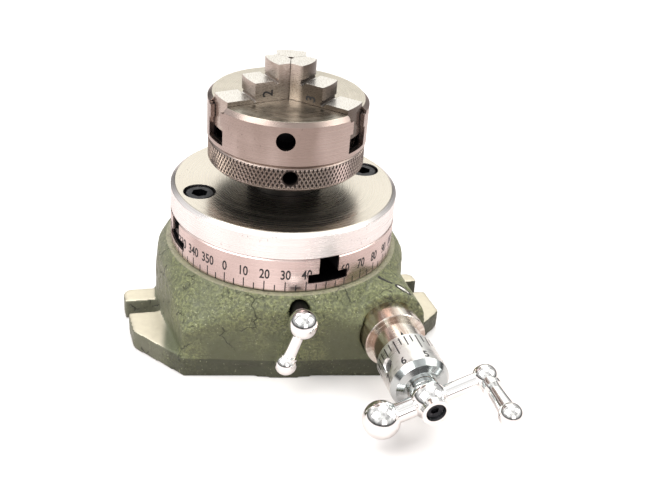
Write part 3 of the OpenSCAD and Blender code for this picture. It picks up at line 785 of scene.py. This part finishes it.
def slice_every(bm, step):
    """Cuts a flat shape across its width, so that it can bend round a cylinder."""
    low = min(v.co.x for v in bm.verts)
    high = max(v.co.x for v in bm.verts)
    count = int((high - low) / step)
    for i in range(1, count + 1):
        bmesh.ops.bisect_plane(bm, geom=[*bm.verts, *bm.edges, *bm.faces],
                               plane_co=(low + i * (high - low) / (count + 1), 0, 0),
                               plane_no=(1, 0, 0))


def remove_box(bm, x0, x1, y0, y1):
    """Cuts a flat shape along a box and takes away what lies inside."""
    for co, no in (((x0, 0, 0), (1, 0, 0)), ((x1, 0, 0), (1, 0, 0)),
                   ((0, y0, 0), (0, 1, 0)), ((0, y1, 0), (0, 1, 0))):
        bmesh.ops.bisect_plane(bm, geom=[*bm.verts, *bm.edges, *bm.faces], plane_co=co, plane_no=no)
    inside = []
    for face in bm.faces:
        centre = face.calc_center_median()
        if x0 < centre.x < x1 and y0 < centre.y < y1:
            inside.append(face)
    bmesh.ops.delete(bm, geom=inside, context="FACES")


class Marks:
    """Collects flat shapes as thin closed solids laid on a surface."""

    def __init__(self):
        self.verts = []
        self.faces = []

    def add(self, bm, place, proud=PROUD, sunk=SUNK):
        """place(x, y, depth) gives the point of the surface frame for a flat point."""
        bm.normal_update()
        bm.verts.index_update()
        flip = sum(face.normal.z * face.calc_area() for face in bm.faces) < 0
        start, count = len(self.verts), len(bm.verts)
        for depth in (proud, -sunk):
            self.verts += [place(v.co.x, v.co.y, depth) for v in bm.verts]
        for face in bm.faces:
            loop = [start + v.index for v in face.verts]
            loop = loop[::-1] if flip else loop
            self.faces.append(loop)
            self.faces.append([i + count for i in reversed(loop)])
            for edge_loop in face.loops:
                if len(edge_loop.edge.link_faces) == 1:
                    a = start + edge_loop.vert.index
                    b = start + edge_loop.link_loop_next.vert.index
                    a, b = (b, a) if flip else (a, b)
                    self.faces.append([b, a, a + count, b + count])
        bm.free()

    def build(self, name, body, material, slot):
        new_piece(name, self.verts, self.faces, body, material)


def new_piece(name, verts, faces, body, material):
    """A flat-shaded object that rides a body and wears the given material."""
    mesh = bpy.data.meshes.new(name)
    mesh.from_pydata(verts, [], faces)
    mesh.validate()
    mesh.update()
    mesh.materials.append(material)
    mesh.polygons.foreach_set("use_smooth", [False] * len(mesh.polygons))
    piece = bpy.data.objects.new(name, mesh)
    bpy.context.scene.collection.objects.link(piece)
    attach(piece, body)


def round_table(azimuth, z, radius):
    """Surface frame on a vertical cylinder, centred at an azimuth and a height."""
    def place(x, y, depth):
        return direction(azimuth + math.degrees(x / radius)) * (radius + depth) + UP * (z + y)
    return place


def round_worm(angle, station, radius):
    """Surface frame on the worm axis. Text stands with its top towards the table.
    The angle is measured from straight down, towards the side away from the table."""
    def place(x, y, depth):
        a = math.radians(angle) - x / radius
        away = WORM_SIDE * math.sin(a) - UP * math.cos(a)
        return WORM_FOOT + WORM_OUT * (station - y) + away * (radius + depth)
    return place


def on_flat(centre, normal, text_up):
    """Surface frame on a plane."""
    right = text_up.cross(normal)

    def place(x, y, depth):
        return centre + right * x + text_up * y + normal * depth
    return place


# ------------------------------------------------------------------ scale on the table


def slot_clearance(bm, azimuth, z):
    """Takes out what would hang over the mouths of the T-slots."""
    margin = 0.1 * MM
    for k in range(4):
        turn = (SLOT_AZ + 90 * k - azimuth + 180) % 360 - 180
        if abs(turn) > 30:
            continue
        for width, low, high in ((SLOT_WIDE, SLOT_FLOOR_Z, SLOT_LIP_Z),
                                 (SLOT_NECK, SLOT_LIP_Z - margin, TABLE_TOP)):
            half = math.asin((width / 2 + margin) / TABLE_R) * TABLE_R
            middle = math.radians(turn) * TABLE_R
            remove_box(bm, middle - half, middle + half, low - margin - z, high + margin - z)


def table_scale(material):
    """A line every five degrees round the table and a number every ten."""
    lines, numbers = Marks(), Marks()
    for value in range(0, 360, 5):
        azimuth = ZERO_AZ + value
        top = LONG_TICK_HI if value % 10 == 0 else SHORT_TICK_HI
        tick = rectangle(TICK_W, top - SCALE_LO)
        middle = (SCALE_LO + top) / 2
        slot_clearance(tick, azimuth, middle)
        lines.add(tick, round_table(azimuth, middle, TABLE_R))
        if value % 10 == 0:
            digits = lettering(str(value), NUMBER_H, NUMBER_SQUEEZE)
            slice_every(digits, 0.8 * MM)
            slot_clearance(digits, azimuth, NUMBER_Z)
            if digits.faces:
                numbers.add(digits, round_table(azimuth, NUMBER_Z, TABLE_R))
    lines.build("table_scale_lines", "table", material, "table_steel")
    numbers.build("table_scale_numbers", "table", material, "table_steel")


# ------------------------------------------------------------------ scale on the dial

DIAL_R = 9.9 * MM
COLLAR_R = 8.7 * MM
DIAL_NUMBERS = 8
DIAL_FIVE = 170
DIAL_TICK_W = 0.42 * MM
DIAL_TICK_L = (6.7 * MM, 3.4 * MM, 4.6 * MM, 3.4 * MM)
DIAL_DIGIT_H = 3.2 * MM
DIAL_DIGIT_UP = 11.1 * MM
ARROW_ANGLE = 190.5


def dial_scale(material):
    """Eight numbers round the dial with four divisions each; DIAL_FIVE is the angle of the five."""
    marks = Marks()
    step = 360 / DIAL_NUMBERS
    low = DIAL_LO + 0.9 * MM
    for number in range(DIAL_NUMBERS):
        angle = DIAL_FIVE + step * (number - 5)
        for part, length in enumerate(DIAL_TICK_L):
            tick = rectangle(DIAL_TICK_W, length)
            marks.add(tick, round_worm(angle + part * step / 4, low + length / 2, DIAL_R))
        digit = lettering(str(number), DIAL_DIGIT_H, 0.85)
        slice_every(digit, 0.35 * MM)
        marks.add(digit, round_worm(angle, DIAL_LO + DIAL_DIGIT_UP, DIAL_R))
    marks.build("dial_scale", "dial", material, "dial_chrome")


def sleeve_arrow(material):
    """The fixed mark beside the dial: a slender arrowhead."""
    half_w, length = 0.75 * MM, 3.1 * MM
    shape = outline([(-half_w, -length / 2), (0, -length * 0.3),
                     (half_w, -length / 2), (0, length / 2)])
    slice_every(shape, 0.3 * MM)
    marks = Marks()
    marks.add(shape, round_worm(ARROW_ANGLE, SLEEVE_HI - 0.1 * MM - length / 2, COLLAR_R))
    marks.build("sleeve_arrow", "base", material, "turned_steel")


# ------------------------------------------------------------------ numbers on the jaws

JAW_HALF_W = 4.9 * MM

# For each jaw: how far out and how high its number lies, how tall it is, and whether its top
# points outwards
JAW_NUMBERS = {1: (10.9 * MM, 90.0 * MM, 3.7 * MM, True),
               2: (10.8 * MM, 90.0 * MM, 3.75 * MM, True),
               3: (11.1 * MM, 89.2 * MM, 3.7 * MM, False)}


def jaw_numbers(material):
    """A digit lying on its side on one flank of each jaw."""
    for number, (radial, z, height, top_outward) in JAW_NUMBERS.items():
        outward = Vector(JOINTS[f"jaw_{number}_slide"]["axis"]).normalized()
        text_up = outward if top_outward else -outward
        flank = UP.cross(text_up)
        centre = outward * radial + flank * JAW_HALF_W + UP * z
        marks = Marks()
        marks.add(lettering(str(number), height, 0.95), on_flat(centre, flank, text_up))
        marks.build(f"jaw_{number}_number", f"jaw_{number}", material, "jaw_steel")


# ------------------------------------------------------------------ knurl on the scroll ring

KNURL_LO = RING_LO + 1.1 * MM
KNURL_HI = RING_LO + 8.3 * MM
KNURL_COUNT = 116
KNURL_HELIX = 30
KNURL_DEPTH = 0.40 * MM
KNURL_SUNK = 0.25 * MM
KNURL_FINE = 6
RIDGE_HALF_W = 0.34

# The tommy bar holes, the openings left for them in the knurl, and the worn places round them
BAR_HOLE_R = 2.45 * MM
BAR_HOLE_AZ = -90.6
BAR_HOLE_Z = RING_LO + 5.1 * MM
OPEN_R = BAR_HOLE_R + 0.12 * MM
PLAIN_R = BAR_HOLE_R + 0.55 * MM


def knurl_height(turns, climb):
    """Height share of two crossing families of ridges; both arguments count ridge pitches."""
    def ridge(phase):
        away = abs((phase + 0.5) % 1.0 - 0.5)
        return max(0.0, 1.0 - away / RIDGE_HALF_W)
    return max(ridge(turns + climb), ridge(turns - climb))


def knurl_vertex(i, j, rows, columns):
    """Azimuth, height and ridge share at a place in the knurl's grid, and whether a hole cuts it.
    Places near the rim of a hole move onto it, so that its edge comes out round."""
    azimuth = -90 + 360 * i / columns
    z = KNURL_LO + (KNURL_HI - KNURL_LO) * j / rows
    ridge = 0.0 if j in (0, rows) else knurl_height(i / KNURL_FINE, j / KNURL_FINE)
    turn = (azimuth - BAR_HOLE_AZ + 60) % 120 - 60
    across, above = math.radians(turn) * RING_R, z - BAR_HOLE_Z
    distance = math.hypot(across, above)
    cut = distance < OPEN_R - 0.2 * MM
    if not cut and distance < OPEN_R + 0.12 * MM:
        grow = OPEN_R / distance
        azimuth += math.degrees(across * (grow - 1) / RING_R)
        z += above * (grow - 1)
    if distance < PLAIN_R:
        ridge = min(ridge, 0.35)
    return azimuth, z, ridge, cut


def thick_sheet(outer, inner, quads):
    """Closes a sheet: quads outside, the same inside, walls along its free edges."""
    shift = len(outer)
    faces, rim = [], {}
    for quad in quads:
        faces.append(quad)
        faces.append([v + shift for v in reversed(quad)])
        for n in range(4):
            a, b = quad[n], quad[(n + 1) % 4]
            if rim.pop((b, a), None) is None:
                rim[(a, b)] = True
    for a, b in rim:
        faces.append([b, a, a + shift, b + shift])
    verts = outer + inner
    used = sorted({v for face in faces for v in face})
    index = {v: n for n, v in enumerate(used)}
    return [verts[v] for v in used], [[index[v] for v in face] for face in faces]


def knurl_band(material):
    """A thin sleeve of real knurling with the three tommy bar holes left open."""
    pitch = 2 * math.pi * RING_R / KNURL_COUNT
    z_pitch = pitch / math.tan(math.radians(KNURL_HELIX))
    rows = int(round((KNURL_HI - KNURL_LO) / (z_pitch / KNURL_FINE)))
    columns = KNURL_COUNT * KNURL_FINE
    outer, inner, open_vertex = [], [], []
    for j in range(rows + 1):
        for i in range(columns):
            azimuth, z, ridge, cut = knurl_vertex(i, j, rows, columns)
            out = direction(azimuth)
            outer.append(out * (RING_R + PROUD + KNURL_DEPTH * ridge) + UP * z)
            inner.append(out * (RING_R - KNURL_SUNK) + UP * z)
            open_vertex.append(cut)
    quads = []
    for j in range(rows):
        for i in range(columns):
            k = (i + 1) % columns
            quad = [j * columns + i, j * columns + k, (j + 1) * columns + k, (j + 1) * columns + i]
            if not any(open_vertex[v] for v in quad):
                quads.append(quad)
    verts, faces = thick_sheet(outer, inner, quads)
    new_piece("ring_knurl", verts, faces, "scroll", material)


# ------------------------------------------------------------------ the casting's skin

SKIN_VOXEL = 0.6 * MM
SKIRT_BORE_R = 34.05 * MM

# Machined places that stay smooth: the worm's bore, the flange close under the sleeve,
# and the locking screw's hole
WORM_BORE_R = 8.2 * MM
UNDER_SLEEVE_S = 44.2 * MM
UNDER_SLEEVE_R = 12 * MM
LOCK_HOLE_R = 4.2 * MM


def distance_to_axis(point, foot, axis):
    from_foot = point - foot
    return (from_foot - axis * from_foot.dot(axis)).length


def painted(point, normal):
    """0 on machined and inner surfaces, 1 on rough painted ones."""
    if point.xy.length < SKIRT_BORE_R + 0.6 * MM or point.z < 0.5 * MM:
        return 0.0
    if point.z > CASTING_TOP - 0.5 * MM:
        return 0.0
    station = (point - WORM_FOOT).dot(WORM_OUT)
    off_worm = distance_to_axis(point, WORM_FOOT, WORM_OUT)
    if off_worm < WORM_BORE_R or (station > UNDER_SLEEVE_S and off_worm < UNDER_SLEEVE_R):
        return 0.0
    if distance_to_axis(point, LOCK_POINT, LOCK_OUT) < LOCK_HOLE_R and point.y < 0:
        return 0.0
    if point.z < FLANGE_T + 0.4 * MM and abs(point.x) > LUG_X and normal.z > 0.7:
        return 0.0
    low = min(1.0, (point.z - 0.5 * MM) / (1.5 * MM))
    rim = min(1.0, (CASTING_TOP - 0.5 * MM - point.z) / (2.0 * MM))
    return min(low, rim)


def unevenness(place):
    """How far a sand casting stands out at a place; both in millimetres."""
    wave = noise.noise(place / 7.0) * 0.16
    lump = noise.noise(place / 2.6 + Vector((31, 7, 3))) * 0.13
    grit = noise.noise(place / 1.2 + Vector((5, 17, 23))) * 0.05
    rough = 0.35 + 0.65 * min(1.0, max(0.0, (place.z - 9) / 16))
    return wave + (lump + grit) * rough


def remeshed_casting():
    """A mesh of the casting in small even faces, with its edges softened."""
    mesh = frame["nodes"]["base_casting"].data.copy()
    bm = bmesh.new()
    bm.from_mesh(mesh)
    bmesh.ops.remove_doubles(bm, verts=bm.verts, dist=0.001 * MM)
    bm.to_mesh(mesh)
    bm.free()
    raw = bpy.data.objects.new("raw_skin", mesh)
    bpy.context.scene.collection.objects.link(raw)
    voxels = raw.modifiers.new("voxels", "REMESH")
    voxels.mode = "VOXEL"
    voxels.voxel_size = SKIN_VOXEL
    rounding = raw.modifiers.new("rounding", "SMOOTH")
    rounding.factor = 0.5
    rounding.iterations = 3
    graph = bpy.context.evaluated_depsgraph_get()
    remeshed = bpy.data.meshes.new_from_object(raw.evaluated_get(graph))
    bpy.data.objects.remove(raw)
    bpy.data.meshes.remove(mesh)
    return remeshed


def casting_skin(material):
    """The casting with soft edges and the unevenness of a sand casting where it is painted."""
    mesh = remeshed_casting()
    mesh.name = "casting_skin"
    moved = []
    for vertex in mesh.vertices:
        share = painted(vertex.co, vertex.normal)
        rise = unevenness(vertex.co / MM) * share * MM if share else 0.0
        moved.extend(vertex.co + vertex.normal * rise)
    mesh.vertices.foreach_set("co", moved)
    mesh.polygons.foreach_set("use_smooth", [True] * len(mesh.polygons))
    mesh.materials.clear()
    mesh.materials.append(material)
    mesh.update()
    skin = bpy.data.objects.new("casting_skin", mesh)
    bpy.context.scene.collection.objects.link(skin)
    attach(skin, "base")
    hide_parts("base_casting")
    return skin


INDEX_PLACE = (34.4 * MM, -29.2 * MM)
INDEX_ANGLE = -31
ZERO_PLACE = (40.2 * MM, -32.7 * MM)
ZERO_ANGLE = -32.4


def on_skin(skin, middle, angle):
    """Surface frame on top of the casting, found by looking straight down at it."""
    tree = BVHTree.FromPolygons([v.co for v in skin.data.vertices],
                                [p.vertices for p in skin.data.polygons])
    c, s = math.cos(math.radians(angle)), math.sin(math.radians(angle))

    def place(x, y, depth):
        above = Vector((middle[0] + x * c - y * s, middle[1] + x * s + y * c, 60 * MM))
        hit, normal, _, _ = tree.ray_cast(above, -UP)
        return hit + UP * depth / max(normal.z, 0.5)
    return place


def casting_marks(skin, black, pale):
    """The index line that the table is read against, and its zero.
    The skin under them is rough, so they stand prouder and reach deeper than other marks."""
    marks, fill = Marks(), Marks()
    proud, sunk = 0.07 * MM, 0.25 * MM
    line = on_skin(skin, INDEX_PLACE, INDEX_ANGLE)
    marks.add(rectangle(5.4 * MM, 0.85 * MM, 16, 2), line, proud, sunk)
    zero = on_skin(skin, ZERO_PLACE, ZERO_ANGLE)
    marks.add(oval_ring(3.1 * MM, 1.6 * MM, 0.8 * MM), zero, proud, sunk)
    fill.add(oval_disc(2.35 * MM, 0.85 * MM), zero, proud - 0.03 * MM, sunk)
    marks.build("casting_index", "base", black, "casting_paint")
    fill.build("casting_zero_fill", "base", pale, "casting_paint")


# ------------------------------------------------------------------ everything together


def dress_nodes(materials):
    """Gives every CAD node the material of its slot."""
    for part in frame["record"]["subparts"]:
        node = frame["nodes"][part["node"]]
        node.data.materials.clear()
        node.data.materials.append(materials[part["material_slot"]])


def main():
    make_camera()
    make_world()
    make_lights()
    make_floor()
    builders = (casting_paint, table_steel, plate_steel, chuck_steel, jaw_steel, ring_steel,
                turned_steel, dial_chrome, bright_chrome, black_screw, dark_steel, bronze)
    materials = {builder.__name__: builder() for builder in builders}
    dress_nodes(materials)
    black = ink()
    skin = casting_skin(materials["casting_paint"])
    casting_marks(skin, black, pale_fill())
    table_scale(black)
    dial_scale(black)
    sleeve_arrow(black)
    jaw_numbers(black)
    knurl_band(materials["ring_steel"])
    bpy.context.scene.view_settings.view_transform = "Standard"


main()
